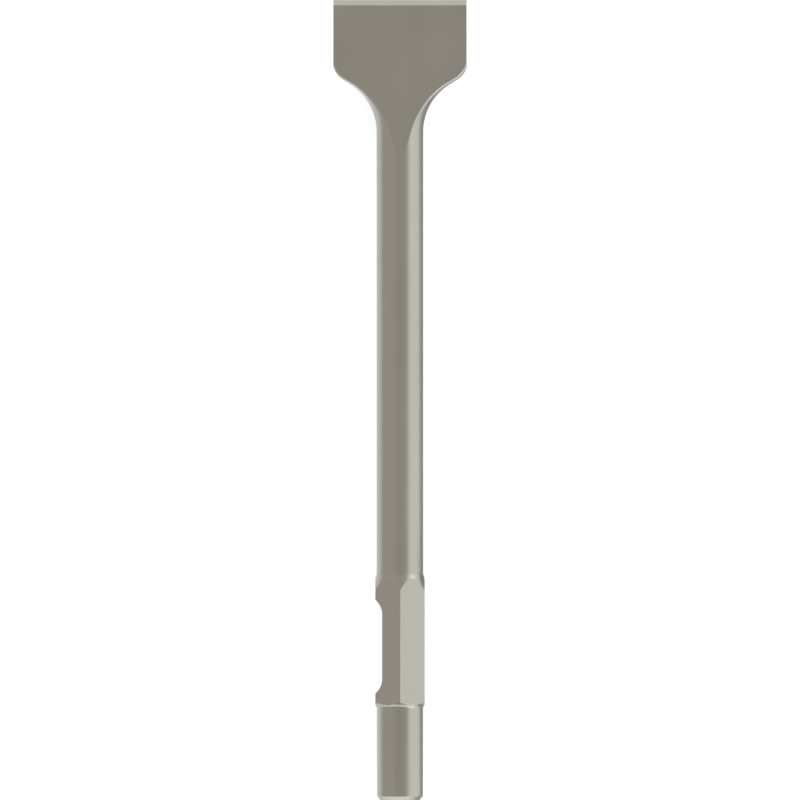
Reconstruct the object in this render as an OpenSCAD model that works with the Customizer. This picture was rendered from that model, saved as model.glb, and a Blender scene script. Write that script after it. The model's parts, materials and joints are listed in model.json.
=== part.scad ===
// Flat chisel for a breaker hammer, forged and turned from one steel bar.
// It is modelled upright on its own axis, with the striking end at the origin and the cutting edge
// at the top, and is then laid down in the pose in which it comes to rest on a level floor.

/* [Overall] */
// Length from the striking end to the cutting edge
length = 300; // [260:1:420]
// Diameter of the round shank
shank_d = 17.5; // [16:0.1:18]

/* [Striking tail] */
// Diameter of the round tail
tail_d = 17.4; // [15:0.1:18]
// Length of the round tail, up to where the shoulder fillet begins
tail_l = 34.2; // [25:0.1:50]
// Length of the chamfer round the striking end, along the axis
tail_chamfer_l = 1.6; // [0.5:0.1:4]
// Depth of the same chamfer, across the axis
tail_chamfer_w = 1.2; // [0.5:0.1:3]

/* [Hexagon] */
// Width of the hexagon across its flats
hex_af = 18.5; // [18.2:0.1:22]
// Length of the hexagon's corner edges
hex_l = 42; // [34:0.1:60]
// Radius of the hollow fillet where the tail meets the hexagon
shoulder_r = 2.4; // [1:0.1:3]
// Angle between the axis and the cone that ends the hexagon
neck_angle = 17.3; // [12:0.1:35]
// Radius of the hollow fillet where that cone meets the shank
neck_r = 6; // [3:0.5:8]

/* [Retainer notch] */
// Depth of the notch below the flat that it is cut in
notch_depth = 2.55; // [1:0.05:4]
// Length of the notch's flat floor
notch_floor_l = 24.2; // [10:0.1:26]
// Radius of the cutter, which leaves both ends of the notch round
notch_r = 7; // [4:0.5:8]
// Distance from the tail shoulder to the middle of the notch
notch_middle = 21; // [19:0.1:23]

/* [Blade] */
// Width of the blade
blade_w = 50; // [46:1:70]
// Length of the blade's straight sides
blade_side_l = 25.6; // [15:0.1:40]
// Length of the tapered faces, from the cutting edge to the round shank
taper_l = 57; // [52:1:90]
// Thickness of the blade where the cutting bevels start
blade_t = 3.6; // [2:0.1:6]
// Length of the two cutting bevels
bevel_l = 2.1; // [1:0.1:6]
// Width of the land left along the cutting edge
edge_land = 0.3; // [0.1:0.1:0.8]

/* [Flare from the shank to the blade] */
// Radius of the hollow sweep that leaves the shank
flare_hollow_r = 21; // [14:0.5:21.5]
// Radius of the rounded shoulder that runs into the straight side
flare_shoulder_r = 8; // [4:0.5:9]
// Steepest angle of the flare to the axis
flare_angle = 58.4; // [45:0.1:60]
// Angle that is left at the corner between the shoulder and the straight side
corner_angle = 18; // [10:1:30]

/* [Hidden] */
$fn = 128;
spare = 1; // how far a cut or a blank reaches past the finished surface
arc_steps = 14; // straight steps that stand for each round stretch of the outline
steel = [0.56, 0.54, 0.5];

shank_r = shank_d / 2;
tail_r = tail_d / 2;
half_w = blade_w / 2;

// Stations along the axis, counted from the striking end
hex_corner_r = hex_af / 2 / cos(30);
hex_start = tail_l + shoulder_r;
hex_corner_end = hex_start + hex_l;
neck_meets_shank = hex_corner_end + (hex_corner_r - shank_r) / tan(neck_angle);
neck_fillet_l = neck_r * tan(neck_angle / 2);
taper_start = length - taper_l;
bevel_start = length - bevel_l;
side_start = length - blade_side_l;

// The bar is left this thick round the hexagon and the blade before their flats are cut
hex_blank_r = max(hex_corner_r, tail_r + shoulder_r) + spare;
blade_blank_r = half_w + 2 * spare;

// The flare is a hollow arc, a straight slope and a rounded shoulder, each tangent to the next
slope_w = half_w - shank_r - flare_hollow_r * (1 - cos(flare_angle))
    - flare_shoulder_r * (cos(corner_angle) - cos(flare_angle));
slope_l = slope_w / tan(flare_angle);
flare_l = flare_hollow_r * sin(flare_angle) + slope_l
    + flare_shoulder_r * (sin(flare_angle) - sin(corner_angle));
flare_start = side_start - flare_l;
hollow_centre = [shank_r + flare_hollow_r, flare_start];
shoulder_centre = [half_w - flare_shoulder_r * cos(corner_angle),
    side_start + flare_shoulder_r * sin(corner_angle)];

// Points along an arc, as [radius from the axis, station]; angles are counted from the radial direction
function arc(centre, r, from, to) =
    [for (i = [0:arc_steps]) let (a = from + (to - from) * i / arc_steps) centre + r * [cos(a), sin(a)]];

flare_outline = concat(
    arc(hollow_centre, flare_hollow_r, 180, 180 - flare_angle),
    arc(shoulder_centre, flare_shoulder_r, -flare_angle, -corner_angle),
    [[blade_blank_r, side_start + (blade_blank_r - half_w) / tan(corner_angle)]]
);

// Half the blade's thickness at a station: the two faces are planes that meet the shank at taper_start
taper_slope = (shank_r - blade_t / 2) / (taper_l - bevel_l);
function half_t(station) = blade_t / 2 + (bevel_start - station) * taper_slope;

// Resting pose. The tool can't balance on the hexagon's corner with its blade level, so it rolls
// onto one shoulder of the blade. It then bears on the end of the lowest corner edge, on the shank
// where the taper starts, and on the shoulder's lower edge. The notch makes the other side lighter.
shoulder_edge = [for (p = flare_outline)
    [min(half_w, sqrt(max(0, p.x ^ 2 - half_t(p.y) ^ 2))), half_t(p.y), p.y]];
function shank_bearing(roll) = taper_start + shank_r * (1 - cos(roll)) / taper_slope;
function pitch(roll) =
    atan((hex_corner_r * cos(roll) - shank_r) / (shank_bearing(roll) - hex_corner_end));
function depth(p, roll) =
    (p.x * sin(roll) + p.y * cos(roll)) * cos(pitch(roll)) + p.z * sin(pitch(roll));
function shank_depth(roll) =
    shank_r * cos(pitch(roll)) + shank_bearing(roll) * sin(pitch(roll));
function shoulder_depth(roll) = max([for (p = shoulder_edge) depth(p, roll)]);
function settle(low, high, halvings) = halvings == 0 ? low
    : let (middle = (low + high) / 2)
        shoulder_depth(middle) > shank_depth(middle)
            ? settle(low, middle, halvings - 1)
            : settle(middle, high, halvings - 1);
rest_roll = settle(0, 30, 24);
rest_pitch = pitch(rest_roll);

// The round bar, turned and forged to its outline, before any flat is cut
module blank() {
    rotate_extrude()
        polygon(concat(
            [[0, 0], [tail_r - tail_chamfer_w, 0], [tail_r, tail_chamfer_l]],
            arc([tail_r + shoulder_r, tail_l], shoulder_r, 180, 90),
            [[hex_blank_r, hex_start],
                [hex_blank_r, hex_corner_end - (hex_blank_r - hex_corner_r) / tan(neck_angle)]],
            arc([shank_r + neck_r, neck_meets_shank + neck_fillet_l], neck_r, 180 + neck_angle, 180),
            flare_outline,
            [[blade_blank_r, length + spare], [0, length + spare]]
        ));
}

// What is milled off the blank to leave the hexagon, with a corner edge on each blade face's side
module hexagon_waste() {
    waste_l = neck_meets_shank + neck_fillet_l - tail_l;
    translate([0, 0, tail_l])
        difference() {
            cylinder(r = hex_blank_r + spare, h = waste_l);
            translate([0, 0, -spare])
                rotate([0, 0, 30])
                    cylinder(r = hex_corner_r, h = waste_l + 2 * spare, $fn = 6);
        }
}

// The groove that a retainer drops into, milled straight across one flat
module retainer_notch() {
    floor_x = hex_af / 2 - notch_depth;
    translate([-floor_x, 0, hex_start + notch_middle])
        rotate([90, 0, 0])
            linear_extrude(height = 2 * hex_blank_r, center = true) {
                translate([-2 * notch_r, -notch_floor_l / 2])
                    square([2 * notch_r, notch_floor_l]);
                for (end = [-1, 1])
                    translate([-notch_r, end * notch_floor_l / 2])
                        circle(r = notch_r);
            }
}

// Everything between the blade's two sides, its two tapered faces and its two cutting bevels
module blade_envelope() {
    top_y = hex_blank_r + spare;
    top_z = bevel_start - (top_y - blade_t / 2) / taper_slope;
    edge = [[top_y, -spare], [top_y, top_z], [blade_t / 2, bevel_start], [edge_land / 2, length]];
    rotate([90, 0, 90])
        linear_extrude(height = blade_w, center = true)
            polygon(concat(edge, [for (i = [len(edge) - 1:-1:0]) [-edge[i].x, edge[i].y]]));
}

module upright_chisel() {
    difference() {
        intersection() {
            blank();
            blade_envelope();
        }
        hexagon_waste();
        retainer_notch();
    }
}

module chisel() {
    color(steel)
        translate([0, -length / 2 * cos(rest_pitch), shank_depth(rest_roll)])
            rotate([-90 - rest_pitch, 0, 0])
                rotate([0, 0, rest_roll])
                    upright_chisel();
}

chisel();
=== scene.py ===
import json
import math
from bisect import bisect_right

import bmesh
import bpy
from mathutils import Matrix, Vector


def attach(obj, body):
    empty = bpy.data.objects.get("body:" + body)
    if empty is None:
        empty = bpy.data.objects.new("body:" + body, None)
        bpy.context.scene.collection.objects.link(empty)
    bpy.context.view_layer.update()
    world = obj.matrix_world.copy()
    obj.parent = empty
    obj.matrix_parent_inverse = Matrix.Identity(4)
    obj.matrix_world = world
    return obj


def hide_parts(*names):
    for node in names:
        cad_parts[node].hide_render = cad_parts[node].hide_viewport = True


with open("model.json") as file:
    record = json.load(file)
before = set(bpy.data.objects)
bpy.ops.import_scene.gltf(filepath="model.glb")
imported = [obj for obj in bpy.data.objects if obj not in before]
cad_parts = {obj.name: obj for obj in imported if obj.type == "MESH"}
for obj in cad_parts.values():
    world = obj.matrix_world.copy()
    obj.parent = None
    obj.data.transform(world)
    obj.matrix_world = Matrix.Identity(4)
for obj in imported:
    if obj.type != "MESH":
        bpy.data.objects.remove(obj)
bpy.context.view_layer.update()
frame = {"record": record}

MM = 0.001
MOUNTS = {mount["name"]: mount for mount in frame["record"]["mounts"]}

# The chisel's own sizes. Stations are measured along its axis from the striking face.
LENGTH = 300 * MM
SHANK_R = 8.75 * MM
TAIL_R = MOUNTS["striking_tail"]["dims"]["r_mm"] * MM
TAIL_CHAMFER_L = 1.6 * MM
TAIL_CHAMFER_W = 1.2 * MM
HEX_START = 36.6 * MM
HEX_END = 78.6 * MM
HEX_HALF = 9.25 * MM
HEX_CORNER_R = HEX_HALF / math.cos(math.radians(30))
SHOULDER_ROUND = 2.4 * MM
NECK_ANGLE = 17.3
NECK_ROUND = 6 * MM
NOTCH_MIDDLE = HEX_START + 21 * MM
NOTCH_DEPTH = 2.55 * MM
NOTCH_FLOOR_L = 24.2 * MM
NOTCH_ROUND = 7 * MM
TAPER_START = 243 * MM
BEVEL_START = 297.9 * MM
BLADE_HALF_W = 25 * MM
BLADE_HALF_T = 1.8 * MM
EDGE_HALF_T = 0.15 * MM
SIDE_START = 274.4 * MM
FLARE_START = 250.427 * MM
FLARE_ANGLE = 58.4
FLARE_HOLLOW = 21 * MM
FLARE_SHOULDER = 8 * MM
CORNER_ANGLE = 18

# Directions that the flats face, in degrees round the axis. 0 is the lower blade face.
BLADE_FLATS = (0, 90, 180, 270)
HEX_FLATS = (30, 90, 150, 210, 270, 330)
NOTCHED_FLAT = 270

# How far the edges are rounded. A thin edge is rounded by no more than a share of its half thickness.
FORGED_ROUND = 1.55 * MM
FORGED_ROUND_FADE = SIDE_START - 2.5 * MM
FORGED_ROUND_END = SIDE_START + 3 * MM
GROUND_ROUND = 0.22 * MM
END_ROUND = 0.25 * MM
MOST_OF_THIN_EDGE = 0.8

# How finely the skin is made. Angles are in degrees. A crisp edge has a ring just to each side of it.
COLUMNS = 96
COLUMN_PAIR_GAP = 0.001
ARC_STEP = 4
NOTCH_STEPS = 14
RING_SPACING = 4 * MM
TONGUE_L = 6 * MM
TONGUE_RINGS = 12
RUN_OUT_RINGS = 16
CRISP = 0.05 * MM
SAME_RING = 0.004 * MM
SAME_POINT = 0.002 * MM
SLOPE_REACH = 0.3 * MM
HALVINGS = 40
FLAT_FACE_WEIGHT = 80

# The finish. Where the shade noise is low the steel is darker and glossier, and where high the reverse.
DARKER_STEEL = (0.226, 0.208, 0.176, 1)
PALER_STEEL = (0.246, 0.225, 0.188, 1)
SHADE_LOW = 0.3
SHADE_HIGH = 0.7
GLOSSIER = 0.28
DULLER = 0.36
MARK_DEPTH = 0.022 * MM
MARK_DETAIL = 3
MARKS_IN_SHADE = 0.5
BLASTED_START = TAPER_START + 3 * MM
BLASTED_END = LENGTH + 6 * MM
FINISHES_BLEND = 1 * MM

# The studio, in metres. Where a thing has a brightness of 1 it is seen as white.
FLOOR_SIZE = 40
FLOOR_TONE = 0.8
FLOOR_LIFT = 0.6
WORLD_SEEN = 1.0
WORLD_CAST = 0.5
DAYLIGHT = (0.80, 0.905, 1.0)
PANEL_HEIGHT = 1 * MM

# The rim card lies on the floor along the chisel's right edge. Its near and far sides lie this many
# times as far out from the edge as the edge is high.
RIM_CARD_PAST_TAIL = 50 * MM
RIM_CARD_NEAR = 0.38
RIM_CARD_FAR = 1.36
RIM_CARD_HEIGHT = 0.5 * MM
RIM_CARD_TONE = 0.84

# The neck card stands on the floor to the right of the neck, from START to END off the middle line
NECK_CARD_STATION = 86.8 * MM
NECK_CARD_START = 13 * MM
NECK_CARD_END = 60 * MM
NECK_CARD_TOP = 9 * MM
NECK_CARD_TONE = 0.5

# The camera has a long lens, in mm. The frame's height is a share of the chisel's length.
FRAME_FILL = 0.9993
LENS = 800
SENSOR = 36


def tangent(angle):
    """Tangent of an angle in degrees."""
    return math.tan(math.radians(angle))


def outline(corners):
    """A line through (station, height, rounding) corners, with an arc of that radius at each corner."""
    points = [Vector(corners[0][:2])]
    for before, corner, after in zip(corners, corners[1:], corners[2:]):
        here = Vector(corner[:2])
        rounding = corner[2]
        if rounding == 0:
            points.append(here)
            continue
        back = (Vector(before[:2]) - here).normalized()
        ahead = (Vector(after[:2]) - here).normalized()
        turn = math.pi - back.angle(ahead)
        reach = rounding * math.tan(turn / 2)
        middle = here + (back + ahead).normalized() * rounding / math.cos(turn / 2)
        first = (here + back * reach - middle).normalized()
        last = (here + ahead * reach - middle).normalized()
        steps = max(2, math.ceil(math.degrees(turn) / ARC_STEP))
        spokes = [first.slerp(last, step / steps) for step in range(steps + 1)]
        points += [middle + spoke * rounding for spoke in spokes]
    return points + [Vector(corners[-1][:2])]


def height_at(line, station):
    """Height of an outline at a station."""
    if station <= line[0].x:
        return line[0].y
    if station >= line[-1].x:
        return line[-1].y
    place = bisect_right(line, station, key=lambda point: point.x)
    low, high = line[place - 1], line[place]
    return low.y + (high.y - low.y) * (station - low.x) / (high.x - low.x)


def bar_outline():
    """Radius of the turned and forged bar along its axis, before any flat is cut."""
    blank_r = TAIL_R + SHOULDER_ROUND
    cone_start = HEX_END - (blank_r - HEX_CORNER_R) / tangent(NECK_ANGLE)
    cone_end = HEX_END + (HEX_CORNER_R - SHANK_R) / tangent(NECK_ANGLE)
    flare_corner = FLARE_START + FLARE_HOLLOW * tangent(FLARE_ANGLE / 2)
    reach = FLARE_SHOULDER * tangent((FLARE_ANGLE - CORNER_ANGLE) / 2)
    turn = math.radians(CORNER_ANGLE)
    shoulder_corner = SIDE_START - reach * math.cos(turn)
    shoulder_corner_r = BLADE_HALF_W - reach * math.sin(turn)
    end_r = BLADE_HALF_W + (LENGTH - SIDE_START) * tangent(CORNER_ANGLE)
    return outline([
        (0, 0, 0),
        (0, TAIL_R - TAIL_CHAMFER_W, END_ROUND),
        (TAIL_CHAMFER_L, TAIL_R, END_ROUND),
        (HEX_START, TAIL_R, SHOULDER_ROUND),
        (HEX_START, blank_r, 0),
        (cone_start, blank_r, 0),
        (cone_end, SHANK_R, NECK_ROUND),
        (flare_corner, SHANK_R, FLARE_HOLLOW),
        (shoulder_corner, shoulder_corner_r, FLARE_SHOULDER),
        (LENGTH, end_r, 0),
    ])[1:]


def face_outline():
    """Distance of the blade's two faces from the axis plane."""
    return outline([
        (TAPER_START, SHANK_R, 0),
        (BEVEL_START, BLADE_HALF_T, END_ROUND),
        (LENGTH, EDGE_HALF_T, 0),
    ])


def notch_outline():
    """Distance of the notched flat from the axis."""
    floor = HEX_HALF - NOTCH_DEPTH
    rise = math.acos((NOTCH_ROUND - NOTCH_DEPTH) / NOTCH_ROUND)
    run = [rise * (1 - step / NOTCH_STEPS) for step in range(NOTCH_STEPS + 1)]
    points = []
    for side, angles in ((-1, run), (1, reversed(run))):
        for angle in angles:
            station = NOTCH_FLOOR_L / 2 + NOTCH_ROUND * math.sin(angle)
            height = floor + NOTCH_ROUND * (1 - math.cos(angle))
            points.append(Vector((NOTCH_MIDDLE + side * station, height)))
    return points


BAR = bar_outline()
FACE = face_outline()
NOTCH = notch_outline()


def eased(start, end, count):
    """Stations from start to end that lie closer together near the start, where a flat opens out."""
    return [start + (end - start) * (step / count) ** 2 for step in range(count + 1)]


def ring_stations():
    """Every station along the bar that gets a ring of vertices."""
    flats_end = HEX_END + (HEX_CORNER_R - HEX_HALF) / tangent(NECK_ANGLE)
    wanted = [point.x for point in BAR + FACE + NOTCH]
    wanted += eased(TAPER_START, TAPER_START + TONGUE_L, TONGUE_RINGS)
    wanted += eased(flats_end, HEX_END, RUN_OUT_RINGS)
    wanted += eased(SIDE_START, FORGED_ROUND_END, RUN_OUT_RINGS)
    for edge in (NOTCH[0].x, NOTCH[-1].x, TAPER_START, flats_end, SIDE_START, LENGTH - 2 * CRISP):
        wanted += [edge - CRISP, edge + CRISP]
    wanted = sorted(station for station in wanted if 0 <= station <= LENGTH)
    stations = [0.0]
    for station in wanted:
        last = stations[-1]
        gap = station - last
        parts = math.ceil(gap / RING_SPACING)
        if gap > SAME_RING:
            stations += [last + gap * part / parts for part in range(1, parts + 1)]
    return stations


def ring_azimuths():
    """Directions that the skin faces, in degrees round the axis, with a pair at each flat's own one."""
    found = []
    for place in range(COLUMNS):
        azimuth = place * 360 / COLUMNS
        if azimuth in BLADE_FLATS + HEX_FLATS:
            found += [azimuth - COLUMN_PAIR_GAP, azimuth + COLUMN_PAIR_GAP]
        else:
            found.append(azimuth)
    return found


def facing(azimuth):
    """The direction of an azimuth: 0 is the lower blade face and 90 the side away from the notch."""
    turn = math.radians(azimuth)
    return Vector((math.sin(turn), math.cos(turn)))


def flats_at(station):
    """The flats that a station may have, as (azimuth, distance from the axis)."""
    if station > TAPER_START:
        face = height_at(FACE, station)
        return [(azimuth, BLADE_HALF_W if azimuth % 180 else face) for azimuth in BLADE_FLATS]
    if station > FLARE_START or station < HEX_START - SHOULDER_ROUND:
        return []
    notched = height_at(NOTCH, station) if NOTCH[0].x < station < NOTCH[-1].x else HEX_HALF
    return [(azimuth, notched if azimuth == NOTCHED_FLAT else HEX_HALF) for azimuth in HEX_FLATS]


def rounding_at(station):
    """How far the edges between the flats and the bar are rounded at a station."""
    if station < TAPER_START:
        return GROUND_ROUND
    fade = (FORGED_ROUND_END - station) / (FORGED_ROUND_END - FORGED_ROUND_FADE)
    fade = min(1, max(0, fade))
    rounding = GROUND_ROUND + (FORGED_ROUND - GROUND_ROUND) * fade * fade * (3 - 2 * fade)
    return min(rounding, MOST_OF_THIN_EDGE * height_at(FACE, station))


def flats_meet(first, second):
    """Where the lines of two flats meet."""
    (a, reach_a), (b, reach_b) = first, second
    a, b = math.radians(a), math.radians(b)
    spread = math.sin(a - b)
    x = (reach_a * math.cos(b) - reach_b * math.cos(a)) / spread
    y = (reach_b * math.sin(a) - reach_a * math.sin(b)) / spread
    return Vector((x, y))


def cut_point(azimuth, station):
    """Point of the bar, with its flats cut and their edges rounded, where the skin faces azimuth."""
    rounding = rounding_at(station)
    radius = height_at(BAR, station) - rounding
    flats = [(a, reach - rounding) for a, reach in flats_at(station) if reach - rounding < radius]
    if not flats:
        return facing(azimuth) * (radius + rounding)
    before = min(flats, key=lambda flat: (azimuth - flat[0]) % 360)
    after = min(flats, key=lambda flat: (flat[0] - azimuth) % 360)
    past = (azimuth - before[0]) % 360
    gap = past + (after[0] - azimuth) % 360
    start = math.degrees(math.acos(before[1] / radius))
    end = gap - math.degrees(math.acos(after[1] / radius))
    if start > end:
        core = flats_meet(before, after)
    else:
        core = facing(before[0] + min(end, max(start, past))) * radius
    return core + facing(azimuth) * rounding


def flare_point(azimuth, station, run_out, across, rounding):
    """Point of the flare, where the rounded shoulder edge crosses the station at a slant."""
    quadrant = facing(azimuth)
    side = Vector((math.copysign(1, quadrant.x), math.copysign(1, quadrant.y)))
    turn = math.degrees(math.atan2(abs(quadrant.x), abs(quadrant.y)))
    radius = height_at(BAR, station)
    if turn >= run_out:
        point = facing(turn) * radius
    else:
        middle = facing(run_out) * radius - fillet(run_out, across, rounding)
        point = middle + fillet(turn, across, rounding)
    return point * side


def fillet(azimuth, across, rounding):
    """Point that faces azimuth on an edge rounding that is wider across the blade than it is deep."""
    wide = across * facing(azimuth).x
    deep = rounding * facing(azimuth).y
    return Vector((across * wide, rounding * deep)) / math.hypot(wide, deep)


def flare_run_out(station, across, rounding):
    """Azimuth at which the shoulder's rounding runs out into the flare."""
    radius = height_at(BAR, station)
    face = height_at(FACE, station)
    low, high = 0.0, 90.0
    for _ in range(HALVINGS):
        middle = (low + high) / 2
        left = facing(middle).y * radius - fillet(middle, across, rounding).y
        low, high = (middle, high) if left > face - rounding else (low, middle)
    return low


def ring_points(station, azimuths):
    """The ring of points at a station, one for each azimuth."""
    if not TAPER_START < station < SIDE_START:
        return [cut_point(azimuth, station) for azimuth in azimuths]
    rise = height_at(BAR, station + SLOPE_REACH) - height_at(BAR, station - SLOPE_REACH)
    rounding = rounding_at(station)
    across = rounding * math.hypot(1, rise / (2 * SLOPE_REACH))
    run_out = flare_run_out(station, across, rounding)
    return [flare_point(azimuth, station, run_out, across, rounding) for azimuth in azimuths]


def tool_matrix():
    """Turns the tool's own frame, with its axis along Z, into the frame in which it lies on the floor."""
    along = -Vector(MOUNTS["striking_face"]["axis"])
    across = -Vector(MOUNTS["retainer_notch"]["axis"])
    along.normalize()
    across = (across - along * across.dot(along)).normalized()
    turn = Matrix((across, along.cross(across), along)).transposed()
    return Matrix.Translation(MOUNTS["striking_face"]["pos_m"]) @ turn.to_4x4()


def forged_bar():
    """The chisel as one skin, drawn out ring by ring from the striking face to the cutting edge."""
    azimuths = ring_azimuths()
    bm = bmesh.new()
    column = bm.verts.layers.int.new("column")
    circle = bmesh.ops.create_circle(bm, segments=len(azimuths), radius=TAIL_R)
    for place, vertex in enumerate(circle["verts"]):
        vertex[column] = place
    first_ring = list(bm.edges)
    ring = first_ring
    vertices = circle["verts"]
    for place, station in enumerate(ring_stations()):
        if place:
            drawn = bmesh.ops.extrude_edge_only(bm, edges=ring)["geom"]
            vertices = [part for part in drawn if isinstance(part, bmesh.types.BMVert)]
            ring = [part for part in drawn if isinstance(part, bmesh.types.BMEdge)]
            ring = [edge for edge in ring if edge.is_boundary]
        points = ring_points(station, azimuths)
        for vertex in vertices:
            vertex.co = points[vertex[column]].to_3d() + Vector((0, 0, station))
    for end in (first_ring, ring):
        bmesh.ops.contextual_create(bm, geom=end)
    bmesh.ops.remove_doubles(bm, verts=bm.verts, dist=SAME_POINT)
    bmesh.ops.recalc_face_normals(bm, faces=bm.faces)
    bm.verts.layers.int.remove(column)
    bm.transform(tool_matrix())
    return bm


def object_of(name, bm, material):
    """An object of a finished bmesh, at the origin."""
    mesh = bpy.data.meshes.new(name)
    bm.to_mesh(mesh)
    bm.free()
    mesh.materials.append(material)
    made = bpy.data.objects.new(name, mesh)
    bpy.context.collection.objects.link(made)
    return made


def shade_skin(bm):
    """Smooth faces, with a sharp rim round the two end faces, the only ones with more than four corners."""
    for face in bm.faces:
        face.smooth = True
        if len(face.verts) > 4:
            for edge in face.edges:
                edge.smooth = False


def make_chisel():
    """The one finished piece, which stands for the solid chisel."""
    bm = forged_bar()
    shade_skin(bm)
    chisel = object_of("chisel_body", bm, satin_steel())
    weighted = chisel.modifiers.new("flats stay flat", "WEIGHTED_NORMAL")
    weighted.mode = "FACE_AREA"
    weighted.weight = FLAT_FACE_WEIGHT
    weighted.keep_sharp = True
    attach(chisel, "root")
    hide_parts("chisel")


def new_group(name, inputs, output):
    """An empty shader node group with named inputs and one value out."""
    group = bpy.data.node_groups.new(name, "ShaderNodeTree")
    for label, kind in inputs:
        group.interface.new_socket(name=label, in_out="INPUT", socket_type=kind)
    group.interface.new_socket(name=output, in_out="OUTPUT", socket_type="NodeSocketFloat")
    return group, group.nodes.new("NodeGroupInput"), group.nodes.new("NodeGroupOutput")


def grain_group():
    """Noise drawn out the way that a tool cut or the steel flowed. Fineness counts its marks per mm."""
    group, given, out = new_group("grain", [
        ("Place", "NodeSocketVector"),
        ("Stretch", "NodeSocketVector"),
        ("Fineness", "NodeSocketFloat"),
    ], "Height")
    drawn_out = group.nodes.new("ShaderNodeVectorMath")
    drawn_out.operation = "MULTIPLY"
    noise = group.nodes.new("ShaderNodeTexNoise")
    noise.inputs["Detail"].default_value = MARK_DETAIL
    group.links.new(given.outputs["Place"], drawn_out.inputs[0])
    group.links.new(given.outputs["Stretch"], drawn_out.inputs[1])
    group.links.new(drawn_out.outputs["Vector"], noise.inputs["Vector"])
    group.links.new(given.outputs["Fineness"], noise.inputs["Scale"])
    group.links.new(noise.outputs["Fac"], out.inputs["Height"])
    return group


def stretch_group():
    """1 on one stretch of the bar and 0 off it, with a soft step at each end."""
    group, given, out = new_group("stretch of the bar", [
        ("Place", "NodeSocketVector"),
        ("Middle", "NodeSocketFloat"),
        ("Half length", "NodeSocketFloat"),
    ], "Mask")
    station = group.nodes.new("ShaderNodeSeparateXYZ")
    group.links.new(given.outputs["Place"], station.inputs["Vector"])
    value = station.outputs["Z"]
    for operation, amount in (("SUBTRACT", "Middle"), ("ABSOLUTE", None), ("SUBTRACT", "Half length")):
        step = group.nodes.new("ShaderNodeMath")
        step.operation = operation
        group.links.new(value, step.inputs[0])
        if amount:
            group.links.new(given.outputs[amount], step.inputs[1])
        value = step.outputs["Value"]
    mask = group.nodes.new("ShaderNodeMapRange")
    mask.interpolation_type = "SMOOTHSTEP"
    mask.inputs["From Min"].default_value = FINISHES_BLEND / MM
    mask.inputs["From Max"].default_value = -FINISHES_BLEND / MM
    group.links.new(value, mask.inputs["Value"])
    group.links.new(mask.outputs["Result"], out.inputs["Mask"])
    return group


def place_in_tool(nodes, links):
    """A point of the surface in the tool's own frame, in mm, with Z along the axis."""
    coordinates = nodes.new("ShaderNodeTexCoord")
    mapping = nodes.new("ShaderNodeMapping")
    mapping.vector_type = "TEXTURE"
    origin, turn, _ = tool_matrix().decompose()
    mapping.inputs["Location"].default_value = origin
    mapping.inputs["Rotation"].default_value = turn.to_euler("XYZ")
    mapping.inputs["Scale"].default_value = (MM, MM, MM)
    links.new(coordinates.outputs["Object"], mapping.inputs["Vector"])
    return mapping.outputs["Vector"]


def put_group(nodes, links, group, place, **values):
    """Places a node group at a point of the surface and gives its other inputs their values."""
    node = nodes.new("ShaderNodeGroup")
    node.node_tree = group
    links.new(place, node.inputs["Place"])
    for name, value in values.items():
        node.inputs[name.replace("_", " ")].default_value = value
    return node.outputs[0]


def between(start, end):
    """The stretch group's values for a stretch between two stations, in mm."""
    return {"Middle": (start + end) / 2 / MM, "Half_length": (end - start) / 2 / MM}


def blend(nodes, links, factor, first, second):
    """A value that goes from first to second with the factor."""
    mix = nodes.new("ShaderNodeMix")
    for socket, value in (("Factor", factor), ("A", first), ("B", second)):
        if isinstance(value, (int, float)):
            mix.inputs[socket].default_value = value
        else:
            links.new(value, mix.inputs[socket])
    return mix.outputs["Result"]


def mark_height(nodes, links, grain, place):
    """Height of the marks: rings on the turned bar, lines along the hexagon and fine grain on the blade."""
    stretch = stretch_group()
    turned = put_group(nodes, links, grain, place, Stretch=(0, 0, 1), Fineness=2.6)
    milled = put_group(nodes, links, grain, place, Stretch=(1, 1, 0.03), Fineness=3.2)
    blasted = put_group(nodes, links, grain, place, Stretch=(1, 1, 1), Fineness=3.6)
    hexagon = put_group(nodes, links, stretch, place, **between(HEX_START, HEX_END))
    blade = put_group(nodes, links, stretch, place, **between(BLASTED_START, BLASTED_END))
    height = blend(nodes, links, hexagon, turned, milled)
    return blend(nodes, links, blade, height, blasted)


def satin_steel():
    """Bare forged steel with a satin finish: turned rings, drawn hexagon flats and a blasted blade."""
    material = bpy.data.materials.new("satin steel")
    material.use_nodes = True
    nodes, links = material.node_tree.nodes, material.node_tree.links
    shader = nodes["Principled BSDF"]
    shader.inputs["Metallic"].default_value = 1
    place = place_in_tool(nodes, links)
    grain = grain_group()
    height = mark_height(nodes, links, grain, place)
    clouds = put_group(nodes, links, grain, place, Stretch=(1, 1, 0.5), Fineness=0.09)
    shade = blend(nodes, links, MARKS_IN_SHADE, clouds, height)

    bump = nodes.new("ShaderNodeBump")
    bump.inputs["Strength"].default_value = 1
    bump.inputs["Distance"].default_value = MARK_DEPTH
    links.new(height, bump.inputs["Height"])
    links.new(bump.outputs["Normal"], shader.inputs["Normal"])

    tone = nodes.new("ShaderNodeValToRGB")
    darker, paler = tone.color_ramp.elements
    darker.position = SHADE_LOW
    darker.color = DARKER_STEEL
    paler.position = SHADE_HIGH
    paler.color = PALER_STEEL
    links.new(shade, tone.inputs["Fac"])
    links.new(tone.outputs["Color"], shader.inputs["Base Color"])

    roughness = nodes.new("ShaderNodeMapRange")
    roughness.inputs["From Min"].default_value = SHADE_LOW
    roughness.inputs["From Max"].default_value = SHADE_HIGH
    roughness.inputs["To Min"].default_value = GLOSSIER
    roughness.inputs["To Max"].default_value = DULLER
    links.new(shade, roughness.inputs["Value"])
    links.new(roughness.outputs["Result"], shader.inputs["Roughness"])
    return material


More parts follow.
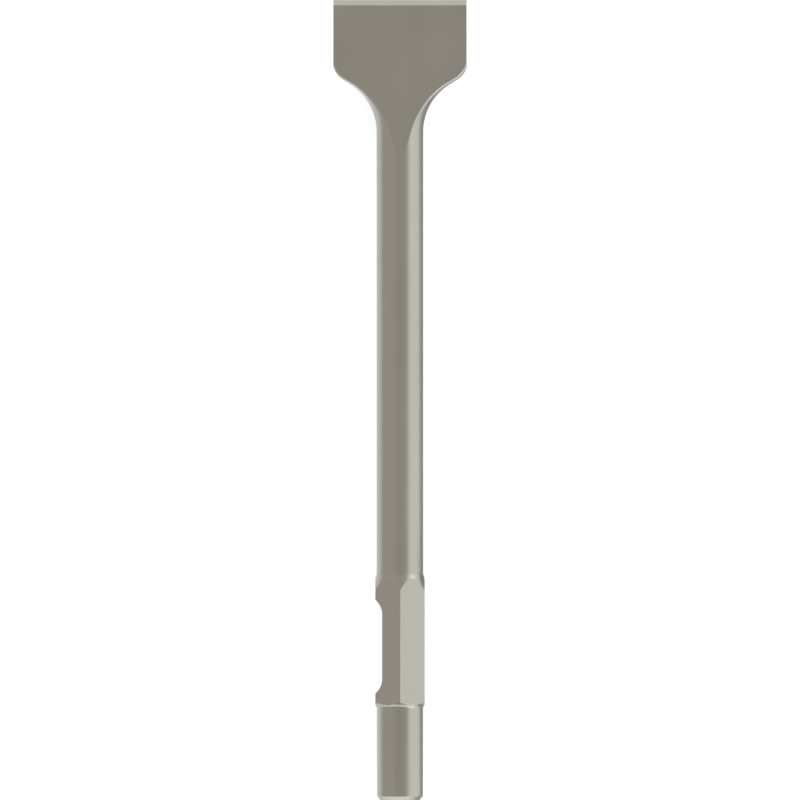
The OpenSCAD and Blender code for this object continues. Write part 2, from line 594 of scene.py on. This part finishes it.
def matt_material(name, tone):
    """A plain matt grey for what stands round the chisel."""
    material = bpy.data.materials.new(name)
    material.use_nodes = True
    shader = material.node_tree.nodes["Principled BSDF"]
    shader.inputs["Base Color"].default_value = (tone, tone, tone, 1)
    shader.inputs["Roughness"].default_value = 1
    return material


def strength_by_ray(nodes, links, where_seen, elsewhere):
    """One strength for what the camera, metal or glass sees, and another for the light that is cast."""
    path = nodes.new("ShaderNodeLightPath")
    seen = path.outputs["Is Camera Ray"]
    for ray in ("Is Glossy Ray", "Is Transmission Ray"):
        either = nodes.new("ShaderNodeMath")
        either.operation = "MAXIMUM"
        links.new(seen, either.inputs[0])
        links.new(path.outputs[ray], either.inputs[1])
        seen = either.outputs["Value"]
    strength = nodes.new("ShaderNodeMapRange")
    strength.inputs["To Min"].default_value = elsewhere
    strength.inputs["To Max"].default_value = where_seen
    links.new(seen, strength.inputs["Value"])
    return strength.outputs["Result"]


def white_floor():
    """A matt white floor, lifted to full white where it is seen, with the shadows left on it."""
    material = matt_material("white floor", FLOOR_TONE)
    nodes, links = material.node_tree.nodes, material.node_tree.links
    shader = nodes["Principled BSDF"]
    shader.inputs["Specular IOR Level"].default_value = 0
    shader.inputs["Emission Color"].default_value = (1, 1, 1, 1)
    links.new(strength_by_ray(nodes, links, FLOOR_LIFT, 0), shader.inputs["Emission Strength"])
    return material


def make_floor():
    """A wide floor, with the chisel lying at its middle."""
    bm = bmesh.new()
    bmesh.ops.create_grid(bm, x_segments=1, y_segments=1, size=FLOOR_SIZE / 2)
    floor = object_of("floor", bm, white_floor())


def make_world():
    """An even white studio, with less light cast from it than is seen in it."""
    world = bpy.data.worlds.new("studio")
    bpy.context.scene.world = world
    world.use_nodes = True
    nodes, links = world.node_tree.nodes, world.node_tree.links
    background = nodes["Background"]
    background.inputs["Color"].default_value = (1, 1, 1, 1)
    links.new(strength_by_ray(nodes, links, WORLD_SEEN, WORLD_CAST), background.inputs["Strength"])


def area_lamp(name, width, height, power):
    """A rectangular daylight lamp that the camera doesn't see."""
    lamp = bpy.data.lights.new(name, "AREA")
    lamp.shape = "RECTANGLE"
    lamp.size = width
    lamp.size_y = height
    lamp.energy = power
    lamp.color = DAYLIGHT
    made = bpy.data.objects.new(name, lamp)
    bpy.context.collection.objects.link(made)
    made.visible_camera = False
    return made


def make_softbox(name, place, width, height, power):
    """A lamp at place, aimed at the chisel's middle."""
    softbox = area_lamp(name, width, height, power)
    softbox.location = place
    softbox.rotation_euler = (-Vector(place)).to_track_quat("-Z", "Y").to_euler()


def make_floor_panel(name, low, high, power):
    """A lamp that lies on the floor beside the chisel, facing up, between two (x, y) corners."""
    panel = area_lamp(name, high[0] - low[0], high[1] - low[1], power)
    panel.location = ((low[0] + high[0]) / 2, (low[1] + high[1]) / 2, PANEL_HEIGHT)
    panel.rotation_euler = (math.pi, 0, 0)


def make_lights():
    """Soft lamps round the chisel, whose tail points along -Y and whose notch is on the -X side."""
    make_softbox("softbox right", place=(1.0, 0, 0.375), width=2.4, height=0.8, power=8.5)
    make_softbox("softbox left", place=(-0.9, 0.3, 0.85), width=2.2, height=1.8, power=2.3)
    make_softbox("softbox tail end", place=(0.2, -1.0, 0.25), width=3.0, height=0.6, power=12)
    make_softbox("softbox edge end", place=(0, 1.0, 0.42), width=1.6, height=0.6, power=5.2)
    make_softbox("softbox neck", place=(0.85, 0.475, 0.24), width=0.5, height=0.4, power=1.2)
    make_floor_panel("panel right", low=(0.031, -0.7), high=(0.5, 0.5), power=1.8)
    make_floor_panel("panel left", low=(-0.14, -0.25), high=(-0.0165, 0.25), power=0.118)
    make_floor_panel("panel tail end", low=(-0.4, -0.8), high=(0.031, -0.19), power=0.9)


def right_rim():
    """Points along the chisel's right edge: one past the tail at the shank's radius, then the flare's."""
    flare = [point for point in BAR if FLARE_START - CRISP < point.x < SIDE_START]
    return [Vector((-RIM_CARD_PAST_TAIL, SHANK_R))] + flare


def beside_rim(before, point, after, reach):
    """A place beside a point of the right edge, further out by reach times the edge's height."""
    place = tool_matrix() @ Vector((point.y, 0, point.x))
    along = after - before
    out = tool_matrix().to_3x3() @ Vector((along.x, 0, -along.y))
    out.z = 0
    place += out.normalized() * reach * place.z
    place.z = RIM_CARD_HEIGHT
    return place


def make_rim_card():
    """A pale grey card on the floor along the right edge, so that the steel shows a darker line there."""
    rim = right_rim()
    last = len(rim) - 1
    bm = bmesh.new()
    bmesh.ops.create_grid(bm, x_segments=last, y_segments=1, size=0.5)
    for vertex in bm.verts:
        place = round((vertex.co.x + 0.5) * last)
        reach = RIM_CARD_NEAR if vertex.co.y < 0 else RIM_CARD_FAR
        vertex.co = beside_rim(rim[max(0, place - 1)], rim[place], rim[min(last, place + 1)], reach)
    stage_card("rim card", bm, RIM_CARD_TONE)


def make_neck_card():
    """A small grey card that stands beside the neck, so that the cone's right side shows darker."""
    bm = bmesh.new()
    bmesh.ops.create_grid(bm, x_segments=1, y_segments=1, size=0.5)
    bmesh.ops.scale(bm, vec=(NECK_CARD_END - NECK_CARD_START, NECK_CARD_TOP, 1), verts=bm.verts)
    bmesh.ops.rotate(bm, matrix=Matrix.Rotation(math.pi / 2, 3, "X"), verts=bm.verts)
    middle = ((NECK_CARD_START + NECK_CARD_END) / 2, NECK_CARD_STATION - LENGTH / 2, NECK_CARD_TOP / 2)
    bmesh.ops.translate(bm, vec=middle, verts=bm.verts)
    stage_card("neck card", bm, NECK_CARD_TONE)


def stage_card(name, bm, tone):
    """Makes a matt card of a bmesh, which only reflections see."""
    card = object_of(name, bm, matt_material(name, tone))
    card.visible_camera = False
    card.visible_diffuse = False
    card.visible_transmission = False
    card.visible_shadow = False


def make_camera():
    """Looks square onto the upper blade face from far away, with the whole length filling the frame."""
    lens = bpy.data.cameras.new("camera")
    lens.lens = LENS
    lens.sensor_width = SENSOR
    distance = FRAME_FILL * LENGTH * LENS / SENSOR
    turn = tool_matrix().to_3x3()
    right, ahead, up = (turn.col[place].normalized() for place in range(3))
    middle = tool_matrix() @ Vector((0, 0, LENGTH / 2))
    view = Matrix((right, up, -ahead)).transposed().to_4x4()
    camera = bpy.data.objects.new("camera", lens)
    camera.matrix_world = Matrix.Translation(middle - ahead * distance) @ view
    lens.clip_end = 2 * distance
    bpy.context.collection.objects.link(camera)
    bpy.context.scene.camera = camera


make_camera()
make_chisel()
make_floor()
make_world()
make_lights()
make_rim_card()
make_neck_card()
bpy.context.scene.view_settings.view_transform = "Standard"
